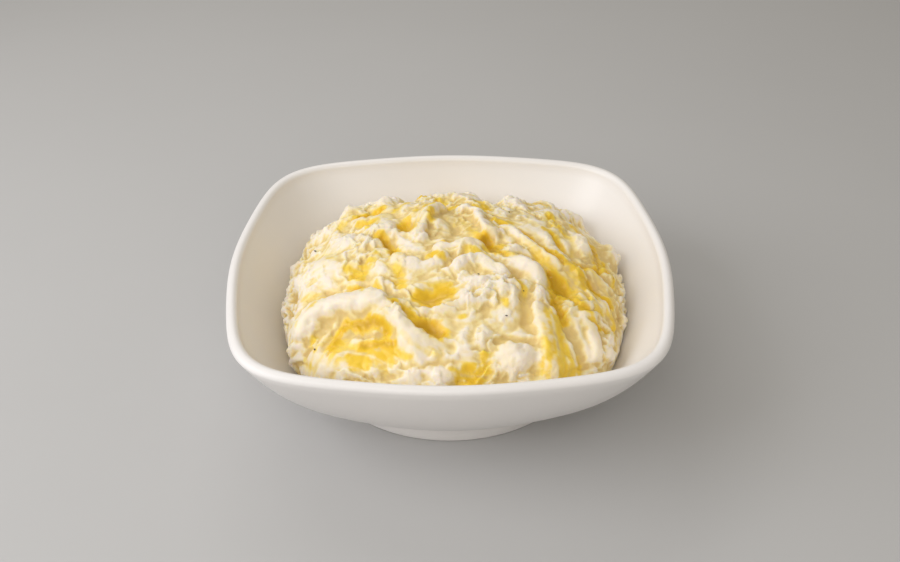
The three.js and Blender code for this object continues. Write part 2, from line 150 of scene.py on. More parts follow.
def bowl_outline(angle, z):
    rise = np.clip((z - OUTSIDE["start"]) / (SHOULDER - OUTSIDE["start"]), 0, 1)
    return outline(angle, rise ** BOWL["square_growth"])


def face_half_width(face, rim, z):
    rise = np.clip((z - face["start"]) / (SHOULDER - face["start"]), 0, 1)
    return face["bottom"] + (rim - face["bottom"]) * rise ** face["flare"]


def inside_half_width(z):
    return face_half_width(INSIDE, BOWL["half_width"] - BOWL["wall"], z)


def outside_half_width(z):
    return face_half_width(OUTSIDE, BOWL["half_width"], z)


print("inside half width at half height, mm:", round(float(inside_half_width(24.0)), 1))

# %% [markdown]
# ## A closed skin over rings
# Both pieces are stacks of rings: the bowl's profile carried round, and the heap's rings from the
# crown outward. Each ring may have its own number of points, so the heap keeps even triangles all
# over. A zipper of triangles joins each ring to the next.

# %% Skin helper
def zipper(start, m, n):
    """Triangles between a ring of m points at index start and the ring of n points after it."""
    upper_steps, lower_steps = (m if m > 1 else 0), (n if n > 1 else 0)
    i = j = 0
    while i < upper_steps or j < lower_steps:
        a, b = start + i % m, start + m + j % n
        if i >= upper_steps or (j < lower_steps and (j + 0.5) * m <= (i + 0.5) * n):
            j += 1
            yield a, b, start + m + j % n
        else:
            i += 1
            yield a, b, start + i % m


def skin(name, rings):
    """A smooth mesh object over a stack of rings of points, given in millimetres."""
    points = np.concatenate(rings) * MM
    faces, start = [], 0
    for upper, lower in zip(rings, rings[1:]):
        faces.extend(zipper(start, len(upper), len(lower)))
        start += len(upper)
    mesh = bpy.data.meshes.new(name)
    mesh.from_pydata(points.tolist(), [], faces)
    mesh.shade_smooth()
    piece = bpy.data.objects.new(name, mesh)
    bpy.context.scene.collection.objects.link(piece)
    print(f"{name}: {len(points)} points, {len(faces)} triangles")
    return piece


def angles(count):
    return np.arange(count) * (2 * np.pi / count)


# %% [markdown]
# ## Relief of the heap
# A spoon leaves folds, a scoop leaves a hollow with a rolled edge, and torn mash leaves crags. The
# relief is drawn on a flat sheet that covers the heap like a cloth, in millimetres from the crown:
# right is +, back is +. A fold is the line of its crest with a half width, a height, and a lean
# that makes one side steep: + the left one on the way along the line. A negative height is a
# crease. A lump is an oval with its own height, or a hollow where the height is negative.

# %% Folds and lumps
FOLDS = [
    # the rolled edge of the scoop at the front left, and what lies round it
    ([(-61, -50), (-57, -41), (-49, -34), (-38, -33), (-28, -35), (-20, -43), (-16, -51), (-11, -61)],
     9, 4.6, -0.3),
    ([(-60, -30), (-49, -24), (-36, -24), (-26, -28), (-20, -34)], 5, -2.2, -0.4),
    ([(-38, -46.5), (-32, -48), (-25, -48.5)], 2.4, 1.0, 0.2),
    ([(-48, -50), (-45, -44), (-40, -39)], 2.2, -1.0, 0.2),
    ([(-23, -33), (-17, -39), (-12, -45), (-5, -51)], 4.2, -2.2, -0.5),
    ([(-8, -57), (-3, -58.5), (2, -58)], 2.2, 1.2, 0),
    ([(-24, -67), (-11, -63), (1, -64)], 6, 2, 0.4),
    # the torn ridge in the middle and the pool's rim
    ([(-4, -21), (3, -16), (9, -14), (15, -19), (20, -24)], 4.6, 3.2, 0.5),
    ([(-15, -37), (-8, -38.5), (0, -36), (5, -31)], 3, 1.7, 0.3),
    ([(-22, -10), (-15, -14), (-8, -14.5), (-2, -11)], 4, 2, 0.6),
    ([(-28, 5), (-25, 1), (-22, -6), (-19, -11)], 3.4, -2.4, -0.4),
    # the steps over the crown
    ([(-7, -5), (-1, -6.5), (4, -4.5), (11, -7)], 4.6, 2.8, 0.6),
    ([(-11, -1), (-11, 10), (-8, 19), (-3, 25.5)], 4.2, 3.4, -0.35),
    ([(1, 24), (8, 21.5), (11.5, 10), (14, 4), (19, 6)], 3.8, 3, -0.3),
    ([(-9, 38), (-1, 41), (8, 35)], 5, 2, 0.3),
    ([(11, 2), (13.5, -4), (16, -10)], 4.2, -3, -0.2),
    # the long smears down the right side
    ([(19, 12), (24, 4.5), (29, -2), (34, -7.5), (40, -13)], 3.6, 2.2, -0.2),
    ([(24, 11), (27, 8), (30, 3), (34, -3), (38.5, -7.5)], 2.4, -1.5, 0.3),
    ([(20, -9), (26, -9), (31, -12), (35, -18)], 2.2, -1.8, -0.2),
    ([(30, 12), (35, 3), (40, -4), (44, -13), (48, -24)], 3.8, 1.2, -0.2),
    ([(36, 13), (41, 3), (46, -7), (50, -15)], 2.6, -0.9, 0),
    ([(46, -7), (51, -6.5), (56, -4.5), (57, 4)], 2.2, -1.6, 0),
    ([(49, -9), (55, -11), (62, -14)], 3.6, 1.7, 0.4),
    ([(49, -15), (55, -19), (62, -22)], 2.6, -1.2, 0),
    # the wedge at the front right and the smooth cut beside it
    ([(29, -30), (30, -42), (31, -54), (31, -66)], 6, 3, -0.45),
    ([(22, -30), (25, -38), (26, -48)], 4, -1.3, 0),
    ([(34, -31), (39, -40), (44, -50), (49, -59)], 3.4, -1.8, -0.3),
    ([(47, -33), (50, -42), (53, -54)], 5, 1.8, 0),
    ([(46, -40), (48, -47), (51, -54)], 1.5, -0.7, 0),
    ([(53, -38), (55, -46), (57, -52)], 1.6, -0.8, 0),
    ([(42, -30), (46, -30), (50, -31)], 2, 1.5, 0),
    ([(47, -36.5), (59, -37)], 1.8, -1.5, 0),
    ([(13, -52), (20, -49.5), (28, -50.5)], 2.6, -1.5, 0.4),
    # round the back
    ([(-52, 18), (-41, 36), (-20, 47), (6, 50), (30, 44)], 7, 1.2, 0.3),
    ([(34, 54), (44, 48), (50, 40)], 6, 1, 0.3),
]
LUMPS = [
    # right, back, half length, half width, turn in degrees, height
    (-33, -49, 13, 8, 0, -2.4),
    (-30, -57, 10, 5, 0, -0.8),
    (-8.5, -47, 5, 4, -40, -1.5),
    (6, -52, 7, 6, 0, 1.8),
    (7, -64, 6, 3.5, 0, -2),
    (22, -57, 8, 6.5, 0, 3),
    (38, -60, 9, 8, 0, 2.2),
    (38, -22, 9, 5.5, -55, -2.6),
    (-8, -31, 9, 5.5, 10, -2.0),
    (12, -28, 12, 9, 0, 2.4),
    (18, -31, 5, 6, 0, 1.6),
    (30, -30.5, 3.5, 3, 0, 2.2),
    (27, -18, 8.5, 5.4, -43, 4.6),
    (-36, 8, 9, 7, 0, 3),
    (-25.5, 10, 7.5, 4.5, 75, 2.4),
    (-14, -3, 6, 4, 0, 1.4),
    (-31, 1, 5, 4, 0, 1.6),
    (-45, -6, 10, 9, 0, 2),
    (-64, -47, 5, 5, 0, 2),
    (-18, 11, 4, 6, 0, -2.6),
    (18, -3, 3, 2.6, 0, -1.8),
    (-34, 30, 8, 3, 20, -1.6),
    (-34, 20, 5, 2.5, 0, -1.5),
    (-36, -15, 5, 4, 0, -1.6),
    (-35, -24, 4, 3, -20, -1.6),
    (-20, -21, 3, 6, 0, -1.4),
    (20, 13, 4, 2, -20, -1.8),
    (40, 25, 3, 6, -10, -1.3),
    (-42, 36, 6, 6, 0, 2.2),
    (-28, 39, 3.4, 3.4, 0, 2.6),
    (-34, 48, 7, 9, 0, -2.4),
    (-19, 55, 5, 19, 0, -4.6),
    (2, 8, 8, 10, 0, -2.4),
    (16, 55, 6, 19, 0, -4.6),
    (24, 40, 5, 6, 0, 2.4),
    (41, 25, 6, 9, 0, 1.6),
    (49, 9, 10, 4.5, -70, 2.8),
    (54, 38, 9, 10, 0, -4.2),
    (-52, 38, 9, 8, 0, -2.4),
    (65, 19, 6, 9, 0, 3.2),
    (66, 2, 5, 8, 0, 1),
    (66, -13, 4, 5, 0, 1.6),
    (57, -25, 5, 3.5, -20, 1.6),
    (67, -28, 5, 10, 0, -1.5),
    (-66, -14, 6, 14, 0, -2.5),
    (10, 62, 14, 8, 0, 2.2),
    (-30, 58, 11, 8, 0, 2.4),
    (-58, 22, 12, 16, 0, -3),
]
# How torn the mash is, from 0 where a spoon has smoothed it to 1 or a little more: lumps with that
# in place of a height. The rest of the heap has the value TORN.
TORN = 0.75
TORN_PATCHES = [
    (-42, -34, 20, 8, 0, 0.12),
    (-18, -50, 5, 11, 30, 0.15),
    (-30, -55, 14, 6, 0, 0.1),
    (27, -18, 9, 6, -43, 0.0),
    (48, -44, 8, 14, 15, 0.1),
    (35, -48, 7, 13, 15, 0.1),
    (-46, -8, 9, 9, 0, 0.3),
    (-8, -4, 12, 7, 0, 0.35),
    (-7, -31, 8, 5, 0, 0.1),
    (12, -27, 13, 10, 0, 0.9),
    (22, -57, 8, 7, 0, 0.6),
    (-4, -57, 14, 8, 0, 0.2),
    (8, -40, 14, 6, 0, 0.35),
    (-3, -45, 7, 6, 0, 0.45),
    (25, -42, 4, 9, 0, 0.15),
    (-36, 9, 9, 7, 0, 1.2),
    (30, -31, 4, 3, 0, 1.2),
    (44, -14, 11, 13, 0, 0.35),
    (2, 11, 11, 12, 0, 0.35),
    (56, -11, 8, 4, -15, 0.2),
    (0, 36, 30, 10, 0, 1.0),
    (-68, -15, 9, 26, 0, 1.0),
    (70, -10, 9, 30, 0, 1.0),
]
# Where the mash is dry and white (+) or soaked and yellow (-), and where tan shade is painted (-),
# as lumps with a strength.
DRY_AND_SHADE_PATCHES = [
    (12, -27, 14, 9, 0, 0.8),
    (27, -18, 9, 6, -43, 1.1),
    (-36, 8, 11, 9, 0, 0.9),
    (22, -58, 10, 8, 0, 2.4),
    (-38, -31, 22, 8, 0, 0.7),
    (-5, -60, 12, 6, 0, 0.6),
    (52, -47, 9, 13, 0, 0.5),
    (-52, -10, 10, 12, 0, 0.6),
    (-21, -2, 5, 6, 0, 0.6),
    (2, -5, 12, 4, 0, 0.4),
    (24, 36, 12, 5, 0, 0.5),
    (-22, 38, 8, 5, 0, 0.5),
    (44, 26, 9, 6, 0, 0.4),
    (34, -8, 9, 3, -50, 1.3),
    (25, 5, 6, 4, -55, 0.6),
    (48.5, 11, 9, 4.5, -70, 1.2),
    (56, -10.5, 7, 2.5, -15, 0.6),
    (65, -12, 4, 5, 0, 0.5),
    # painted shade: the right flank faces away from the window light and is painted tan
    (46, -12, 13, 14, 0, -2.2),
    (60, 4, 10, 22, 0, -2.4),
    (42, 24, 7, 12, 0, -1.8),
    (64, -24, 7, 14, 0, -2.0),
    (-32, 27, 8, 7, 0, -0.7),
    # painted shade on the shadowed facet of the hollow below the crown
    (4, 11, 9, 10, 0, -1.0),
    (-4, 40, 10, 4, 0, -0.7),
    (4, 24, 16, 13, 0, -0.6),
    (-30, 24, 12, 12, 0, -0.3),
    (26, 28, 14, 8, 0, -0.4),
    (-20, -22, 9, 8, 0, -0.4),
    (36, -50, 8, 14, 0, -0.6),
    (-12, -18, 8, 4, 0, -0.5),
    (7, -10, 8, 4, 0, -0.6),
]
print(f"{len(FOLDS)} folds and {len(LUMPS)} lumps and hollows")

# %% [markdown]
# ## Where the butter is, and where shade is painted
# Melted butter runs along the folds and stands in the hollows. It is drawn as strokes on the same
# sheet: the line, its half width in millimetres, and how deep the butter is, from 0 to 1. Thin
# butter is pale yellow, and deep butter is a dark gold. A few strokes are painted shade instead:
# a tan or gold where the mash lies in shadow, each noted where it stands.

# %% Butter strokes and painted shade
BUTTER_AND_SHADE = [
    # in the scoop
    # the next two are butter, darkened as painted shade where the scoop's upper wall lies in shadow
    ([(-45, -49), (-42, -44.5), (-38.5, -40)], 1.7, 0.85),
    ([(-35, -42), (-30, -41.5), (-26, -42.5)], 1.9, 0.85),
    ([(-24.5, -44), (-23, -46.5)], 1.3, 0.6),
    ([(-35, -46.5), (-29, -47), (-23, -47.5)], 1.2, 0.2),
    ([(-34, -50.5), (-27, -50.5), (-21.5, -51)], 1.5, 0.95),
    ([(-38, -53.5), (-31, -55), (-23, -55.5)], 2.4, 0.48),
    ([(-38, -57.5), (-32, -58.5)], 2, 0.5),
    ([(-26, -57), (-23, -56.5)], 2, 0.45),
    ([(-51, -44), (-51, -48)], 1.8, 0.5),
    ([(-46, -49), (-43, -52)], 3, 0.35),
    ([(-57, -51), (-54, -55)], 2, 0.35),
    ([(-50, -23), (-50, -31)], 1.8, 0.45),
    ([(-55, -36), (-55, -37.5)], 1.2, 0.4),
    ([(-26, -51.5), (-20, -55), (-15, -57.5)], 1.5, 0.45),
    # beside the scoop
    ([(-22, -34.5), (-20.5, -36.5)], 1.3, 0.85),
    ([(-18, -38), (-15, -41)], 1.4, 0.75),
    ([(-12, -44), (-8, -47), (-5, -49)], 3.4, 0.72),
    ([(-12, -45.5), (-8, -49.5)], 1.4, 0.85),
    ([(-9, -42.5), (-5, -44)], 1.4, 0.6),
    ([(-7, -52), (-6, -57)], 3, 0.25),
    ([(3, -61), (6, -60.5)], 1.8, 0.6),
    ([(8, -63), (12, -62)], 1.7, 0.45),
    ([(3, -66), (9, -67)], 2.4, 0.55),
    ([(10, -57), (10, -58)], 1.6, 0.6),
    ([(-1, -62), (1, -66)], 1.8, 0.4),
    ([(5, -63), (12, -59)], 4.5, 0.2),
    # the pool in the middle and the spots to its left
    ([(-12, -31.5), (-8, -33), (-3.5, -31.5)], 3.6, 0.75),
    ([(-11, -34.5), (-5.5, -34.5)], 1.5, 0.95),
    ([(-5, -28), (-2, -28)], 2.4, 0.6),
    ([(-20, -16), (-19, -26)], 2.6, 0.38),
    ([(-28, -22), (-26, -25)], 1.3, 0.55),
    ([(-38, -12), (-35, -14), (-31, -11)], 3.2, 0.4),
    ([(-37, -16), (-35, -17)], 2.2, 0.55),
    ([(-38, -22), (-34, -23), (-32, -27)], 2, 0.55),
    ([(-46, -25), (-38, -23)], 1.4, 0.35),
    ([(-47, -3), (-46, -4)], 1.5, 0.4),
    ([(-57, -20), (-52, -20)], 2, 0.28),
    ([(-28, 5), (-25, 1), (-22, -6), (-20, -9)], 1.8, 0.78),
    # painted shade in the shadowed hollow left of the crease
    ([(-27, -3), (-24, -8), (-19, -11)], 3.6, 0.3),
    # painted shadow in a small cavity under a lip
    ([(-9, -10.5), (-4, -14)], 1.6, 0.7),
    # up the left side and over the crown
    ([(-38, 28), (-33, 30), (-28, 33)], 2.6, 0.55),
    ([(-37, 22), (-33, 20), (-30, 20)], 2, 0.55),
    ([(-33, 15), (-32, 14)], 1.4, 0.5),
    ([(-46, 24), (-42, 28)], 2.2, 0.3),
    ([(-20, 12), (-18, 9), (-14, 7)], 2, 0.8),
    ([(-18, 17), (-19, 10)], 3, 0.42),
    ([(-8, 17), (-8, 12)], 1.5, 0.62),
    ([(-14, 42), (-8, 40)], 3, 0.42),
    ([(-10.5, 27), (-8.5, 22)], 1.7, 0.7),
    ([(-15, 24), (-13.5, 18)], 2, 0.4),
    ([(-6, 36), (-4, 30)], 2.4, 0.45),
    ([(-23, 27), (-18, 32)], 1.5, 0.5),
    ([(-1, 28), (4, 29), (9, 27)], 1.5, 0.6),
    ([(10, 35), (13, 27)], 2, 0.6),
    ([(-4, -2), (1, -3.5)], 1.4, 0.7),
    ([(4.5, -1.5), (8, -2)], 1.7, 0.85),
    ([(11, 2), (13.5, -4), (15.5, -9)], 2.7, 1.0),
    ([(14, -8), (19, -9), (22, -12)], 2, 0.45),
    ([(4, -8), (10, -9)], 3, 0.3),
    ([(16, -3), (18, -2)], 2, 0.62),
    ([(15, 16), (19, 15), (22, 16)], 1.7, 0.62),
    ([(-1, 14), (3, 13), (8, 4)], 3.4, 0.2),
    # the smears down the right side
    ([(24, 10.5), (27, 7.5), (30, 2.5), (34, -2), (38.5, -5), (41, -10)], 1.4, 0.85),
    ([(34, 12), (37, 9), (40, 5)], 1.6, 0.66),
    ([(38, 28), (39.5, 18)], 2.4, 0.55),
    ([(27, -9.5), (31, -12), (34.5, -17)], 1.3, 0.75),
    ([(34, -17.5), (37, -20), (39, -23)], 4.2, 0.78),
    ([(37, -26), (42, -28)], 3.6, 0.82),
    ([(34, -29), (38, -36), (39, -40)], 1.7, 0.75),
    ([(44, -10), (48, -20)], 2.2, 0.6),
    ([(44, -4), (48, -12), (51, -20)], 1.3, 0.5),
    ([(48, 26), (52, 21), (56, 16)], 1.7, 0.65),
    ([(56, 13), (56.5, 6), (55.5, 0)], 1.6, 0.9),
    ([(47, -7), (52, -6.5), (56, -4.5)], 1.8, 1.0),
    ([(60, 7), (60.5, 1)], 1.2, 0.75),
    ([(60, -2), (62.5, -9)], 2, 0.62),
    ([(50, -14.5), (55, -18.5), (62, -21.5)], 1.6, 0.7),
    ([(42, 12), (40, 16)], 1.6, 0.6),
    # the front right
    ([(22, -26), (24, -30)], 1.2, 0.6),
    ([(16, -35), (18, -37)], 1.1, 0.6),
    ([(2, -41), (4, -41)], 1.4, 0.5),
    # painted shade in the shadowed valley left of the wedge
    ([(23, -33), (26, -40), (27, -48)], 3, 0.12),
    ([(32, -38), (33, -50), (35, -57)], 2.2, 0.45),
    ([(36, -40), (38, -50), (41, -56)], 1.6, 0.5),
    ([(34, -58), (39, -61), (45, -60)], 4.4, 0.42),
    ([(36, -62), (41, -64)], 4, 0.42),
    ([(31.5, -58), (32, -62), (33, -67)], 2.6, 0.42),
    ([(45, -54), (47, -57)], 2, 0.4),
    ([(45, -32), (48, -33)], 2.1, 0.6),
    ([(49, -36.5), (59, -37.5)], 1.2, 0.6),
    ([(61, -26), (63, -38)], 1.7, 0.6),
    ([(52, -30), (58, -28)], 2, 0.4),
    # painted shadow on the band under the overhanging torn middle
    ([(15, -50), (20, -49), (27, -50)], 1.9, 0.16),
    # broad, thin butter that only tints the mash
    ([(38, 22), (42, 12), (44, 2)], 4, 0.2),
    ([(30, -4), (42, -14), (52, -26)], 6, 0.25),
    # painted shade on the cut face right of the wedge, which lies in shadow
    ([(40, -34), (48, -42), (52, -50)], 5, 0.13),
    ([(-44, 30), (-20, 30)], 6, 0.14),
    ([(-12, 38), (14, 36)], 6, 0.14),
    ([(-45, -50), (-25, -58)], 7, 0.2),
    # round the back
    ([(-20, 52), (-4, 55), (8, 53)], 3, 0.5),
    ([(30, 50), (38, 44)], 2.4, 0.6),
    ([(-48, 44), (-40, 52)], 2.6, 0.5),
    ([(57, 31), (61, 25)], 1.8, 0.5),
    ([(-62, 10), (-60, 20)], 2, 0.45),
    ([(-6, 66), (4, 70)], 3, 0.6),
]
print(f"{len(BUTTER_AND_SHADE)} strokes of butter")

# %% [markdown]
# ## Chance and noise
# The heap's chance comes from one formula, which gives each cell of a grid a fixed number between
# 0 and 1. The CAD part has the same formula, so its lumps are the same lumps. Gradient noise, the
# kind in Blender's Noise Texture, is made from it for whole arrays.

# %% The sheet, chance and noise
PITCH = 0.4
REACH = 88
axis = np.arange(-REACH, REACH + PITCH / 2, PITCH)
SHEET_U, SHEET_V = np.meshgrid(axis, axis)


def chance(i, j, seed):
    return np.modf(np.abs(np.sin(127.1 * i + 311.7 * j + 74.7 * seed)) * 43758.5453)[0]


def noise(u, v, length, seed):
    """Gradient noise of a given length scale, about -0.7 to 0.7."""
    x, y = u / length, v / length
    i, j = np.floor(x), np.floor(y)
    fx, fy = x - i, y - j

    def corner(di, dj):
        turn = 2 * np.pi * chance(i + di, j + dj, seed)
        return np.cos(turn) * (fx - di) + np.sin(turn) * (fy - dj)

    sx, sy = (f * f * (3 - 2 * f) for f in (fx, fy))
    near = corner(0, 0) * (1 - sx) + corner(1, 0) * sx
    far = corner(0, 1) * (1 - sx) + corner(1, 1) * sx
    return near * (1 - sy) + far * sy


def layered(u, v, length, seed, layers=4, keep=0.5):
    """Noise of several length scales, each half as long and keep times as strong."""
    total = sum(keep**k * noise(u, v, length / 2**k, seed + k) for k in range(layers))
    return 1.4 * total / sum(keep**k for k in range(layers))


def blur(values, radius):
    """A soft average over the sheet, by two passes of a box in each direction."""
    reach = max(1, round(radius / PITCH))
    for _ in range(2):
        for direction in (0, 1):
            sides = [(reach + 1, reach) if d == direction else (0, 0) for d in (0, 1)]
            total = np.cumsum(np.pad(values, sides, mode="edge"), axis=direction)
            count = values.shape[direction]
            after = np.take(total, range(2 * reach + 1, 2 * reach + 1 + count), direction)
            values = (after - np.take(total, range(count), direction)) / (2 * reach + 1)
    return values


print("sheet:", SHEET_U.shape, "points")

# %% [markdown]
# ## Drawing on the sheet
# Straight strokes would look machined, so the sheet is wavered by noise before the strokes are
# drawn on it: long wavers bend a fold, and short ones tear its edge into small teeth.

# %% Draw folds, lumps, butter and painted shade
# Wavers: length, reach in mm, seed.
WAVERS = [(9, 1.6, 11), (3.2, 0.8, 13), (1.5, 0.35, 15)]
STROKE_WAVERS = [(7, 1.2, 21), (2.6, 1.0, 23), (1.3, 0.6, 25)]
DRY_AND_SHADE_WAVERS = [(9, 3, 27), (3.2, 1.2, 29)]
LUMP_REACH = 1.25  # a lump fades out at this many times its half length and half width
STROKE_REACH = 1.45  # a stroke of butter fades out at this many times its half width
STROKE_GAIN = 1.3  # gains over 1 make the middle of a stroke or patch even
PATCH_GAIN = 1.8
DRY_AND_SHADE_GAIN = 1.6


def wavered(wavers):
    u, v = SHEET_U.copy(), SHEET_V.copy()
    for length, reach, seed in wavers:
        u += reach * noise(SHEET_U, SHEET_V, length, seed)
        v += reach * noise(SHEET_U, SHEET_V, length, seed + 1)
    return u, v


def smooth_line(points, steps=6):
    """A Catmull-Rom line through the points, as short steps."""
    p = np.array([points[0], *points, points[-1]], float)
    line = []
    for a, b, c, d in zip(p, p[1:], p[2:], p[3:]):
        for t in np.arange(steps) / steps:
            line.append(0.5 * (2 * b + (c - a) * t + (2 * a - 5 * b + 4 * c - d) * t**2
                               + (3 * b - a - 3 * c + d) * t**3))
    return np.array([*line, p[-1]])


def along_line(points, u, v):
    """Distance from a line, whether it lies left of the line, and the share of the way along."""
    line = smooth_line(points)
    nearest = np.full(u.shape, np.inf)
    left = np.zeros(u.shape, bool)
    along = np.zeros(u.shape)
    for k, (a, b) in enumerate(zip(line, line[1:])):
        e = b - a
        share = np.clip(((u - a[0]) * e[0] + (v - a[1]) * e[1]) / (e @ e), 0, 1)
        du, dv = u - a[0] - share * e[0], v - a[1] - share * e[1]
        distance = np.hypot(du, dv)
        closer = distance < nearest
        nearest = np.where(closer, distance, nearest)
        left = np.where(closer, e[0] * dv - e[1] * du > 0, left)
        along = np.where(closer, (k + share) / (len(line) - 1), along)
    return nearest, left, along


def window(points, width):
    """The part of the sheet that a stroke can reach."""
    low, high = np.min(points, 0) - 2 * width - 3, np.max(points, 0) + 2 * width + 3
    return np.ix_((axis >= low[1]) & (axis <= high[1]), (axis >= low[0]) & (axis <= high[0]))


def bell(share):
    return (1 - np.clip(share, 0, 1) ** 2) ** 2


def lump_shape(x, y, long, wide, turn, u, v):
    angle = math.radians(turn)
    along = (u - x) * math.cos(angle) + (v - y) * math.sin(angle)
    across = (v - y) * math.cos(angle) - (u - x) * math.sin(angle)
    return bell(np.hypot(along / (LUMP_REACH * long), across / (LUMP_REACH * wide)))


def draw_folds_and_lumps():
    u, v = wavered(WAVERS)
    height = np.zeros(u.shape)
    for points, width, rise, lean in FOLDS:
        part = window(points, width)
        distance, left, along = along_line(points, u[part], v[part])
        fade = np.clip(5 * np.minimum(along, 1 - along), 0, 1) ** 0.5
        height[part] += rise * fade * bell(distance / (width * np.where(left, 1 - lean, 1 + lean)))
    for x, y, long, wide, turn, rise in LUMPS:
        height += rise * lump_shape(x, y, long, wide, turn, u, v)
    return height


def draw_butter_and_shade():
    u, v = wavered(STROKE_WAVERS)
    depth = np.zeros(u.shape)
    for points, width, deep in BUTTER_AND_SHADE:
        part = window(points, width)
        distance, _, _ = along_line(points, u[part], v[part])
        share = np.clip(STROKE_GAIN * bell(distance / (STROKE_REACH * width)), 0, 1)
        depth[part] = np.maximum(depth[part], deep * share)
    return depth


def draw_torn():
    torn = np.full(SHEET_U.shape, TORN)
    for x, y, long, wide, turn, value in TORN_PATCHES:
        shape = lump_shape(x, y, long, wide, turn, SHEET_U, SHEET_V)
        torn += np.clip(PATCH_GAIN * shape, 0, 1) * (value - torn)
    return torn * np.clip(0.9 + 1.4 * layered(SHEET_U, SHEET_V, 20, 65, layers=2), 0.2, 1.25)


def draw_dry_and_shade():
    u, v = wavered(DRY_AND_SHADE_WAVERS)
    return sum(p[5] * np.clip(DRY_AND_SHADE_GAIN * lump_shape(*p[:5], u, v), 0, 1) for p in DRY_AND_SHADE_PATCHES)


drawn, butter_and_shade, torn = draw_folds_and_lumps(), draw_butter_and_shade(), draw_torn()
print("drawn relief, mm:", round(drawn.min(), 1), "to", round(drawn.max(), 1))

# %% [markdown]
# ## Torn mash
# Between the folds the mash is lumpy at every scale. Billows are rounded lumps with creases between
# them, flaps are steps like shingles, and crags are sharp crests. They are strong where the mash is
# torn. Where a spoon has smoothed it, the largest billows keep half their height, and the rest are
# faint. The smallest lumps and the grain show on what stands proud, and little in the hollows.

# %% Add the billows, flaps, crags and grain
FULL_WAVE = 2.2  # brings a wave of noise to a height of about 1
FLAPS = dict(length=16, ragged=2.4, spacing=10, edge=0.86, drop=0.14)
SPREAD = dict(large=4.0, middle=1.5, steps=2.0, sharp=0.45, small=1.0)  # heights in mm
MEAN = dict(large=0.36, middle=0.38, steps=0.2, sharp=0.76, small=0.38)  # to within 0.01
SETTLE = dict(crown=1.3, shoulder=0.5, start=20, over=35)  # the shoulders sink a little further
DEEPEST, SHARPEST = -1.3, 0.8  # limits in mm of the finest relief


def flaps(u, v):
    """Shingle-like flaps: each rises gently towards the crown and drops sharply behind its edge."""
    ragged = FLAPS["ragged"] * layered(u, v, FLAPS["length"], 55, layers=4, keep=0.6)
    field = ragged - np.hypot(u, v) / FLAPS["spacing"]
    step = field - np.floor(field)
    rise, drop = step / FLAPS["edge"], np.clip((1 - step) / FLAPS["drop"], 0, 1)
    here = np.clip(0.5 + 1.9 * layered(u, v, 13, 58, layers=2), 0, 1)
    return here * np.where(step < FLAPS["edge"], rise**1.6, drop * drop * (3 - 2 * drop))


def billows(u, v, length, seed, layers, keep=0.55):
    """Rounded lumps of uneven size with creases between them, and smaller ones on them."""
    total = sum(keep**k * np.abs(noise(u, v, length / 2**k, seed + k)) for k in range(layers))
    return FULL_WAVE * total / sum(keep**k for k in range(layers))


def crags(u, v, length, seed, layers=4):
    """Sharp crests with smaller crests on them, and smooth hollows between, as where mash tears."""
    total = np.zeros(u.shape)
    above = 1.0
    for k in range(layers):
        wave = np.abs(noise(u, v, length / 2**k, seed + k))
        crest = np.clip(1 - FULL_WAVE * wave, 0, 1) ** 2
        total += 0.55**k * crest * above
        above = np.clip(1.5 * crest, 0, 1)
    return total


def lumpy_relief():
    """Lumps, flaps and crags, each less about its own mean, so that the heap doesn't swell."""
    u = SHEET_U + 3.0 * noise(SHEET_U, SHEET_V, 11, 31) + 0.8 * noise(SHEET_U, SHEET_V, 2.8, 33)
    v = SHEET_V + 3.0 * noise(SHEET_U, SHEET_V, 11, 32) + 0.8 * noise(SHEET_U, SHEET_V, 2.8, 34)
    large = billows(u, v, 22, 41, 2)
    middle = billows(u, v, 7.5, 45, 2, keep=0.5)
    steps = flaps(u, v)
    sharp = crags(u, v, 7, 51)
    small = billows(u, v, 2.6, 47, 3, keep=0.7)
    grain = layered(SHEET_U, SHEET_V, 1.6, 61, layers=3, keep=0.6)
    still = np.clip(1 - butter_and_shade, 0.25, 1)
    # What is left of the large and of the finer lumps, where the mash is smooth and where it is torn.
    large_share, fine_share = 0.45 + 0.55 * torn, 0.06 + 0.94 * torn
    total = large_share * SPREAD["large"] * (large - MEAN["large"])
    total += fine_share * (SPREAD["middle"] * (middle - MEAN["middle"])
                           + SPREAD["steps"] * (steps - MEAN["steps"])
                           + SPREAD["sharp"] * (sharp - MEAN["sharp"]))
    proud = np.clip(0.45 + (total - blur(total, 2.5)) / 1.2, 0.15, 1)
    total += fine_share * proud * SPREAD["small"] * (small - MEAN["small"])
    return total + still * proud * (0.1 + 0.45 * torn) * grain


def settle():
    """How far the relief is sunk into the smooth heap, so that its lumps reach the outline."""
    far = np.clip((np.hypot(SHEET_U, SHEET_V) - SETTLE["start"]) / SETTLE["over"], 0, 1)
    return SETTLE["crown"] + SETTLE["shoulder"] * far * far * (3 - 2 * far)


relief = drawn + lumpy_relief() - settle()
soft_relief = blur(relief, 1.2)
relief = soft_relief + np.clip(relief - soft_relief, DEEPEST, SHARPEST)
print("relief, mm:", round(relief.min(), 1), "to", round(relief.max(), 1))

# %% [markdown]
# ## Streaks along the folds
# Butter and cream are dragged along the folds by the spoon. To get streaks that follow them, the
# direction of the nearest folds is blended over the sheet, and noise is averaged along it, as in
# a wind map.

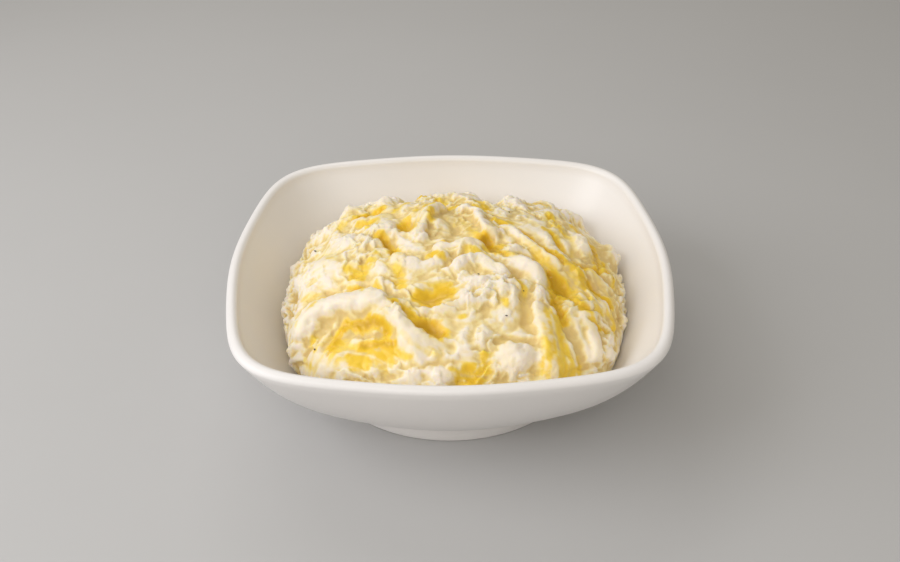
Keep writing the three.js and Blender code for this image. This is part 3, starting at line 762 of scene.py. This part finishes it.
# %% Make the streaks
def flow_direction():
    """The way the mash was dragged: round the heap, and along the folds near them."""
    turn = np.arctan2(SHEET_U, -SHEET_V) + 1.2 * noise(SHEET_U, SHEET_V, 24, 71)
    # A doubled angle has no front or back, so that opposite directions don't cancel.
    x, y = 0.15 * np.cos(2 * turn), 0.15 * np.sin(2 * turn)
    for points, width, *_ in FOLDS:
        line = smooth_line(points, 3)
        for a, b in zip(line, line[1:]):
            angle = 2 * math.atan2(b[1] - a[1], b[0] - a[0])
            weight = np.exp(-((SHEET_U - a[0]) ** 2 + (SHEET_V - a[1]) ** 2) / (6 + width) ** 2)
            x += weight * math.cos(angle)
            y += weight * math.sin(angle)
    return 0.5 * np.arctan2(y, x)


def on_sheet(values, u, v):
    """The sheet's value at places between its points, by a weighted mean of four."""
    x = np.clip((u + REACH) / PITCH, 0, len(axis) - 1.001)
    y = np.clip((v + REACH) / PITCH, 0, len(axis) - 1.001)
    i, j = x.astype(int), y.astype(int)
    fx, fy = x - i, y - j
    near = values[j, i] * (1 - fx) + values[j, i + 1] * fx
    far = values[j + 1, i] * (1 - fx) + values[j + 1, i + 1] * fx
    return near * (1 - fy) + far * fy


def dragged(values, direction, length, steps=10):
    """The values averaged along the direction, over a length in mm to each side."""
    along_u, along_v = np.cos(direction), np.sin(direction)
    total = values.copy()
    for side in (1, -1):
        u, v = SHEET_U.copy(), SHEET_V.copy()
        last_u, last_v = side * along_u, side * along_v
        for _ in range(steps):
            step_u, step_v = on_sheet(along_u, u, v), on_sheet(along_v, u, v)
            back = np.sign(step_u * last_u + step_v * last_v + 1e-9)
            last_u, last_v = back * step_u, back * step_v
            u, v = u + last_u * length / steps, v + last_v * length / steps
            total += on_sheet(values, u, v)
    return total / (2 * steps + 1)


flow = flow_direction()
streaks = dragged(layered(SHEET_U, SHEET_V, 3.0, 81, layers=3, keep=0.8), flow, 7)
streaks /= streaks.std()
print("streaks done")

# %% [markdown]
# ## The heap
# The smooth heap is a rounded square in plan and a superellipse in section. Its rings start at the
# crown and are spaced evenly over the surface. Each point moves out along the surface's normal by
# the relief, and sideways over steep edges, so that torn flaps overhang a little. Points near the
# wall stop short of the porcelain.

# %% Heap functions
HEAP = dict(half_width=65, crown=54, widest=29, square_share=0.58, plan_power=2.1, rise_power=1.8,
            middle=(1.5, 1), undercut=0.035, gap=0.3)
RISE = HEAP["crown"] - HEAP["widest"]
QUARTER = 0.99999 * math.pi / 2
TOP_RINGS = 172
OVERHANG = 0.35
LEAN = 0.3
WALL_SLANT = 0.7  # the wall slopes, so a gap square to it is wider when measured level
FADE_DEPTH = 8  # the relief has faded out this far below the widest level


def section_point(swing):
    side = HEAP["half_width"] * np.sin(swing) ** (2 / HEAP["plan_power"])
    return side, RISE * np.cos(swing) ** (2 / HEAP["rise_power"])


swings = np.linspace(0, QUARTER, 2001)
sides, rises = section_point(swings)
arc = np.concatenate([[0], np.cumsum(np.hypot(np.diff(sides), np.diff(rises)))])
ARC_LENGTH = arc[-1]

slope_v, slope_u = np.gradient(soft_relief, PITCH)
over = np.clip(relief - soft_relief, -1.2, 1.2)
from_crown = np.maximum(np.hypot(SHEET_U, SHEET_V), 6)
SHIFT_U = -over * (OVERHANG * np.clip(slope_u, -1, 1) + LEAN * SHEET_U / from_crown)
SHIFT_V = -over * (OVERHANG * np.clip(slope_v, -1, 1) + LEAN * SHEET_V / from_crown)


def keep_inside(points):
    """Moves points in, where they would come closer to the porcelain than the gap."""
    points[:, 2] = np.maximum(points[:, 2], INSIDE["start"] + HEAP["gap"])
    angle = np.arctan2(points[:, 1], points[:, 0])
    wall = inside_half_width(points[:, 2]) * bowl_outline(angle, points[:, 2])
    room = wall - HEAP["gap"] / WALL_SLANT
    reach = np.hypot(points[:, 0], points[:, 1])
    points[:, :2] *= np.minimum(1, room / np.maximum(reach, 1e-6))[:, None]
    return points


def top_ring(count, share):
    """A ring of the top, and its places on the sheet."""
    angle = angles(count)
    swing = np.interp(share * ARC_LENGTH, arc, swings)
    side, rise = section_point(swing)
    swell = outline(angle, HEAP["square_share"])
    out = HEAP["plan_power"] / HEAP["half_width"] * (side / HEAP["half_width"]) ** (
        HEAP["plan_power"] - 1)
    up = HEAP["rise_power"] / RISE * (rise / RISE) ** (HEAP["rise_power"] - 1)
    cos, sin = np.cos(angle), np.sin(angle)
    way = share * ARC_LENGTH * swell
    u, v = way * cos, way * sin
    normal = np.stack([out * cos, out * sin, np.full(count, up)], 1)
    normal /= np.linalg.norm(normal, axis=1)[:, None]
    # Sideways moves are made in the surface: one way round the heap and one way down its side.
    round_way = np.stack([-sin, cos, np.zeros(count)], 1)
    down_way = np.cross(round_way, normal)
    shift_u, shift_v = on_sheet(SHIFT_U, u, v), on_sheet(SHIFT_V, u, v)
    outward, sideways = shift_u * cos + shift_v * sin, shift_v * cos - shift_u * sin
    x, y = HEAP["middle"]
    smooth = np.stack([x + side * swell * cos, y + side * swell * sin,
                       np.full(count, HEAP["widest"] + rise)], 1)
    moved = smooth + normal * on_sheet(relief, u, v)[:, None]
    moved += down_way * outward[:, None] + round_way * sideways[:, None]
    return keep_inside(moved), np.stack([u, v], 1)


def side_ring(count, z):
    angle = angles(count)
    drop = HEAP["widest"] - z
    swell = outline(angle, HEAP["square_share"])
    way = (ARC_LENGTH + drop) * swell
    u, v = way * np.cos(angle), way * np.sin(angle)
    bulge = on_sheet(relief, u, v) * max(0, 1 - drop / FADE_DEPTH)
    side = (HEAP["half_width"] - HEAP["undercut"] * drop**2) * swell + bulge
    x, y = HEAP["middle"]
    points = np.stack([x + side * np.cos(angle), y + side * np.sin(angle), np.full(count, z)], 1)
    return keep_inside(points), np.stack([u, v], 1)


def floor_ring(count, radius):
    angle = angles(count)
    height = INSIDE["start"] + HEAP["gap"]
    points = np.stack([radius * np.cos(angle), radius * np.sin(angle), np.full(count, height)], 1)
    return points, np.full((count, 2), REACH, float)


print("arc from the crown to the widest level, mm:", round(ARC_LENGTH, 1))

# %% Build the heap
def build_heap():
    rings = [top_ring(1, 0)]
    rings += [top_ring(6 * k, k / TOP_RINGS) for k in range(1, TOP_RINGS + 1)]
    # Under the widest level the rings grow coarser, as they are hidden: height in mm, points.
    sides_down = [(28.4, 1032), (27.6, 900), (26.6, 760), (25.4, 660), (24, 560), (22.4, 460),
                  (20.4, 360), (18, 300), (15.6, 240), (13.8, 180), (12.8, 140)]
    rings += [side_ring(count, z) for z, count in sides_down]
    rings += [floor_ring(72, INSIDE["bottom"] - 1), floor_ring(24, INSIDE["bottom"] / 2),
              floor_ring(1, 0)]
    piece = skin("mash_heap", [points for points, _ in rings])
    return piece, np.concatenate([places for _, places in rings])


mash, places = build_heap()

# %% [markdown]
# ## Masks for the material
# The material has to know where butter covers the mash, how deep it is, where it has soaked in
# round the edges, how creamy the mash is and how torn, and where shade is painted. Each of these is
# a sheet of numbers, stored on the heap's points. Hollows gather butter and are painted from cream
# to tan as painted shade, dry patches stay white, and the shaded right flank is painted tan. The
# few strokes of painted shade among the butter run through the butter masks too.

# %% Paint the masks
# Each sum below is made of these shares.
# the hollow shares are painted shade: hollows turn from white to cream and tan
CREAM_AND_SHADE = dict(everywhere=0.34, streaks=0.15, hollow=1.1, small_hollow=0.5, cloud=0.36, dry_and_shade=0.32)
SOAKED_AND_SHADE = dict(drawn=0.8, dragged=0.32)
RAGGED = dict(speckle=0.3, streaks=0.15, hollow=0.22)
COVER = dict(start=0.16, over=0.26)  # where butter begins to cover, and how much more is full cover


def paint(piece, name, values):
    """Stores one number per point, which a material reads with an Attribute node."""
    layer = piece.data.attributes.new(name, "FLOAT", "POINT")
    layer.data.foreach_set("value", np.ascontiguousarray(values, np.float32))


def hollows(radius, deep):
    """How low a place lies within a radius in mm: 1 if lower by the depth in mm, and -1 if higher."""
    return np.clip((blur(relief, radius) - relief) / deep, -1, 1)


hollow, small_hollow = hollows(3.5, 2.2), hollows(1.2, 0.5)
near_butter_and_shade = np.clip(3 * blur(butter_and_shade, 2.5), 0, 1)
around_butter_and_shade = np.clip(2.5 * blur(butter_and_shade, 6), 0, 1)
speckle = layered(SHEET_U, SHEET_V, 2.2, 91, layers=3, keep=0.7)
trails = around_butter_and_shade * np.clip(0.35 * (streaks - 0.6), 0, 0.4)
soaked_and_shade = SOAKED_AND_SHADE["drawn"] * butter_and_shade + SOAKED_AND_SHADE["dragged"] * dragged(butter_and_shade, flow, 5)
soaked_and_shade = np.maximum(soaked_and_shade, trails)
edge = (soaked_and_shade + near_butter_and_shade * (RAGGED["speckle"] * speckle + RAGGED["streaks"] * streaks)
        + RAGGED["hollow"] * near_butter_and_shade * hollow)
cloud = layered(SHEET_U, SHEET_V, 12, 95, layers=2)
# painted shade: the hollow terms and the shade patches darken hollows and the right flank to tan
cream_and_shade = (CREAM_AND_SHADE["everywhere"] + CREAM_AND_SHADE["streaks"] * streaks + CREAM_AND_SHADE["hollow"] * hollow
         + CREAM_AND_SHADE["small_hollow"] * small_hollow + CREAM_AND_SHADE["cloud"] * cloud
         - CREAM_AND_SHADE["dry_and_shade"] * draw_dry_and_shade())
MASKS = {
    "covered": np.clip((edge - COVER["start"]) / COVER["over"], 0, 1),
    "depth": np.clip(blur(soaked_and_shade, 0.7) * (1 + 0.3 * hollow) + 0.12 * speckle, 0, 1),
    "halo": np.clip(1.6 * blur(butter_and_shade, 2.5), 0, 1),
    "cream_and_shade": np.clip(cream_and_shade, 0, 1),
    "torn": torn,
}
for mask_name, sheet in MASKS.items():
    paint(mash, mask_name, on_sheet(sheet, places[:, 0], places[:, 1]))
print("masks:", ", ".join(MASKS))
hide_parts("mashed_potato")
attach(mash, "root")

# %% [markdown]
# ## Pepper
# A few flecks of ground pepper are scattered over the heap. Each is a tiny bent flake with uneven
# corners, pressed half into the mash. They are one joined mesh, because they are never moved one
# by one.

# %% Scatter the pepper
# Places on the sheet: right and back of the crown.
PEPPER = [(23, 30), (22, 25), (15, 20), (8.5, -22), (24, -30), (52, -20), (-51, -48), (18, -41),
          (-28, 45), (12, 50), (44, 40), (-56, 14), (-20, 62), (34, 56)]


def surface_point(u, v):
    """The heap's point and normal at a place of the sheet, found on the finished mesh."""
    nearest = int(np.argmin(np.hypot(places[:, 0] - u, places[:, 1] - v)))
    vertex = mash.data.vertices[nearest]
    return np.array(vertex.co) / MM, np.array(mash.data.vertex_normals[nearest].vector)


def build_pepper():
    points, faces = [], []
    random = np.random.default_rng(8)
    for u, v in PEPPER:
        centre, normal = surface_point(u, v)
        across = np.cross(normal, (0.3, 0.5, 0.8))
        across /= np.linalg.norm(across)
        along = np.cross(normal, across)
        corners = 7
        size = random.uniform(0.3, 0.62)
        start = len(points)
        for side in (0.22, -0.3):
            for k in range(corners):
                turn = 2 * math.pi * k / corners
                reach = size * random.uniform(0.6, 1.15) * (1 if side > 0 else 0.8)
                lift = side * size + 0.2 * size * math.cos(2 * turn)
                points.append(centre + reach * (math.cos(turn) * across + 0.6 * math.sin(turn) * along)
                              + (0.1 + lift) * normal)
        points += [centre + (0.15 + 0.3 * size) * normal, centre - 0.4 * size * normal]
        top, bottom = start + 2 * corners, start + 2 * corners + 1
        for k in range(corners):
            a, b = start + k, start + (k + 1) % corners
            faces += [(a, b, top), (b + corners, a + corners, bottom)]
            faces += [(a, a + corners, b), (b, a + corners, b + corners)]
    mesh = bpy.data.meshes.new("pepper_flecks")
    mesh.from_pydata((np.array(points) * MM).tolist(), [], faces)
    piece = bpy.data.objects.new("pepper_flecks", mesh)
    bpy.context.scene.collection.objects.link(piece)
    print("pepper flecks:", len(PEPPER))
    return piece


pepper = build_pepper()
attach(pepper, "root")

# %% [markdown]
# ## The bowl
# The potter's profile runs from the middle of the floor up the inside, over the round lip, down
# the outside and under the foot. It is carried round in 288 steps, far finer than the CAD part's
# facets, so highlights on the glaze stay smooth.

# %% Build the bowl
STEPS_ROUND = 288


def levels(start, end, count):
    """Heights after start and up to end, closest together near start, where the wall curves most."""
    return start + (end - start) * ((np.arange(count) + 1) / count) ** 2.6


def bowl_profile():
    """Points (half width, height) from the middle of the floor, over the lip, to the base."""
    share = (FOOT["radius"] - OUTSIDE["bottom"]) / (BOWL["half_width"] - OUTSIDE["bottom"])
    meets = OUTSIDE["start"] + (SHOULDER - OUTSIDE["start"]) * share ** (1 / OUTSIDE["flare"])
    lip = BOWL["half_width"] - BOWL["wall"] / 2
    under = FOOT["height"] - FOOT["recess"]
    profile = [(r, INSIDE["start"]) for r in (12, 24, 32, INSIDE["bottom"])]
    profile += [(float(inside_half_width(z)), z) for z in levels(INSIDE["start"], SHOULDER, 32)]
    for turn in np.linspace(math.pi, 0, 18)[1:-1]:
        profile.append((lip + BOWL["wall"] / 2 * math.cos(turn),
                        SHOULDER + BOWL["lip_rise"] * math.sin(turn)))
    outside = [(float(outside_half_width(z)), z) for z in levels(meets, SHOULDER, 26)]
    profile += outside[::-1]
    foot, inner, bevel = FOOT["radius"], FOOT["inner_radius"], FOOT["bevel"]
    profile += [(foot, meets), (foot, meets / 2), (foot, bevel)]
    profile += [(foot - bevel * 0.3, bevel * 0.3), (foot - bevel, 0), (inner + bevel, 0)]
    profile += [(inner + bevel * 0.3, bevel * 0.3), (inner, bevel), (inner, under)]
    return profile + [(inner * 0.5, under)], under


def build_bowl():
    profile, under = bowl_profile()
    angle = angles(STEPS_ROUND)
    rings = [np.array([[0, 0, float(INSIDE["start"])]])]
    for half_width, z in profile:
        reach = half_width * bowl_outline(angle, z)
        rings.append(np.stack([reach * np.cos(angle), reach * np.sin(angle),
                               np.full(STEPS_ROUND, float(z))], 1))
    rings.append(np.array([[0, 0, under]]))
    return skin("glazed_bowl", rings)


bowl = build_bowl()
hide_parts("bowl")
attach(bowl, "root")

# %% [markdown]
# ## Materials
# Each material is made of nodes. A small helper adds a node and plugs in its inputs, so that a
# material reads from top to bottom like a recipe.

# %% Node helper
def new_material(name):
    material = bpy.data.materials.new(name)
    material.use_nodes = True
    tree = material.node_tree
    tree.nodes.clear()
    return material, tree


def node(tree, kind, settings=None, **inputs):
    """A new node with its settings and inputs, which are values or other nodes' outputs."""
    made = tree.nodes.new(kind)
    for key, value in (settings or {}).items():
        setattr(made, key, value)
    for key, value in inputs.items():
        socket = made.inputs[int(key[1:]) if key[0] == "i" and key[1:].isdigit() else
                             key.replace("_", " ")]
        if isinstance(value, bpy.types.NodeSocket):
            tree.links.new(value, socket)
        else:
            socket.default_value = value
    return made


def mask(tree, name):
    return node(tree, "ShaderNodeAttribute", {"attribute_name": name}).outputs["Fac"]


def ramp(tree, factor, stops):
    made = node(tree, "ShaderNodeValToRGB", i0=factor)
    colours = made.color_ramp.elements
    while len(colours) < len(stops):
        colours.new(0.5)
    for element, (place, colour) in zip(colours, stops):
        element.position = place
        element.color = (*colour, 1)
    return made.outputs["Color"]


def mix(tree, factor, a, b):
    made = node(tree, "ShaderNodeMix", {"data_type": "RGBA"}, i0=factor)
    for socket, value in ((made.inputs[6], a), (made.inputs[7], b)):
        if isinstance(value, bpy.types.NodeSocket):
            tree.links.new(value, socket)
        else:
            socket.default_value = (*value, 1)
    return made.outputs[2]


def maths(tree, operation, a, b, clamp=False):
    settings = {"operation": operation, "use_clamp": clamp}
    return node(tree, "ShaderNodeMath", settings, i0=a, i1=b).outputs[0]


def texture(tree, scale, detail=4.0, roughness=0.55):
    where = node(tree, "ShaderNodeTexCoord").outputs["Object"]
    return node(tree, "ShaderNodeTexNoise", Vector=where, Scale=scale, Detail=detail,
                Roughness=roughness).outputs["Fac"]


def finish_material(tree, surface):
    node(tree, "ShaderNodeOutputMaterial", Surface=surface)


print("material helpers ready")

# %% [markdown]
# ### Porcelain
# The glaze is a warm white that clouds very slightly towards a cooler one. A faint orange-peel bump
# and a thin coat soften its highlights.

# %% Glazed porcelain
PORCELAIN = (0.86, 0.825, 0.795)
PORCELAIN_COOL = (0.84, 0.815, 0.80)


def porcelain():
    material, tree = new_material("glazed porcelain")
    cloud = texture(tree, 28.0, detail=3.0)
    colour = mix(tree, cloud, PORCELAIN, PORCELAIN_COOL)
    orange_peel = texture(tree, 420.0, detail=2.0)
    bump = node(tree, "ShaderNodeBump", Strength=0.06, Distance=0.0004, Height=orange_peel)
    rough = maths(tree, "MULTIPLY_ADD", cloud, 0.12)
    rough.node.inputs[2].default_value = 0.36
    shader = node(tree, "ShaderNodeBsdfPrincipled", Base_Color=colour, Roughness=rough,
                  Normal=bump.outputs["Normal"])
    shader.inputs["Coat Weight"].default_value = 0.12
    shader.inputs["Coat Roughness"].default_value = 0.3
    finish_material(tree, shader.outputs[0])
    return material


bowl.data.materials.append(porcelain())
print("porcelain nodes:", len(bowl.data.materials[0].node_tree.nodes))

# %% [markdown]
# ### Mash and butter
# One ramp runs from white mash through golden cream to a tan that is painted shade, and another
# from thin butter to deep. The covered mask chooses between them, and also makes the butter glossy.
# Light that scatters inside keeps the mash soft, and a fine bump roughens it where it is torn.

# %% Mashed potato
# the tan at the end of the mash ramp is painted shade, reached in deep hollows and on the shaded right
# flank
MASH_STOPS = [(0.0, (0.89, 0.805, 0.68)), (0.5, (0.88, 0.73, 0.37)), (1.0, (0.75, 0.56, 0.225))]
BUTTER_STOPS = [(0.0, (0.89, 0.73, 0.33)), (0.3, (0.90, 0.66, 0.09)), (0.6, (0.85, 0.555, 0.03)),
                (1.0, (0.66, 0.39, 0.012))]


def mashed_potato():
    material, tree = new_material("mashed potato")
    covered, depth, halo, cream_and_shade, rough_part = (
        mask(tree, m) for m in ("covered", "depth", "halo", "cream_and_shade", "torn"))
    mottle = texture(tree, 150.0, detail=5.0)
    fine = texture(tree, 900.0, detail=4.0, roughness=0.6)
    mottling = maths(tree, "MULTIPLY", maths(tree, "SUBTRACT", mottle, 0.5), 0.8)
    cream_and_shade_share = maths(tree, "ADD", cream_and_shade, mottling, clamp=True)
    cream_and_shade_share = maths(tree, "ADD", cream_and_shade_share, maths(tree, "MULTIPLY", halo, 0.5), clamp=True)
    mash_colour = ramp(tree, cream_and_shade_share, MASH_STOPS)
    butter_colour = ramp(tree, depth, BUTTER_STOPS)
    colour = mix(tree, covered, mash_colour, butter_colour)
    rough = node(tree, "ShaderNodeMapRange", Value=covered)
    rough.inputs["To Min"].default_value = 0.58
    rough.inputs["To Max"].default_value = 0.28
    bump = node(tree, "ShaderNodeBump", Strength=maths(tree, "MULTIPLY", rough_part, 0.9),
                Distance=0.0005, Height=fine)
    shader = node(tree, "ShaderNodeBsdfPrincipled", Base_Color=colour, Roughness=rough.outputs[0],
                  Normal=bump.outputs["Normal"])
    shader.inputs["Subsurface Weight"].default_value = 0.5
    shader.inputs["Subsurface Radius"].default_value = (1.0, 0.85, 0.35)
    shader.inputs["Subsurface Scale"].default_value = 0.002
    shader.inputs["Specular IOR Level"].default_value = 0.4
    finish_material(tree, shader.outputs[0])
    return material


mash.data.materials.append(mashed_potato())
print("mashed potato nodes:", len(mash.data.materials[0].node_tree.nodes))

# %% [markdown]
# ### Pepper
# Ground pepper is nearly black, mottled with a dark brown.

# %% Ground pepper
def ground_pepper():
    material, tree = new_material("ground pepper")
    colour = mix(tree, texture(tree, 1500.0), (0.035, 0.028, 0.02), (0.11, 0.085, 0.055))
    shader = node(tree, "ShaderNodeBsdfPrincipled", Base_Color=colour, Roughness=0.6)
    finish_material(tree, shader.outputs[0])
    return material


pepper.data.materials.append(ground_pepper())
print("ground pepper nodes:", len(pepper.data.materials[0].node_tree.nodes))

# %% [markdown]
# ## The table
# A plain pale sweep that only catches the shadow. It isn't part of the object.

# %% Floor
def add_floor():
    mesh = bpy.data.meshes.new("floor")
    half = 3.0  # in metres
    mesh.from_pydata([(-half, -half, 0), (half, -half, 0), (half, half, 0), (-half, half, 0)], [],
                     [(0, 1, 2, 3)])
    floor = bpy.data.objects.new("floor", mesh)
    bpy.context.scene.collection.objects.link(floor)
    material, tree = new_material("pale table")
    grey = mix(tree, texture(tree, 6.0), (0.48, 0.475, 0.47), (0.51, 0.505, 0.50))
    shader = node(tree, "ShaderNodeBsdfPrincipled", Base_Color=grey, Roughness=0.7)
    finish_material(tree, shader.outputs[0])
    mesh.materials.append(material)
    return floor


add_floor()
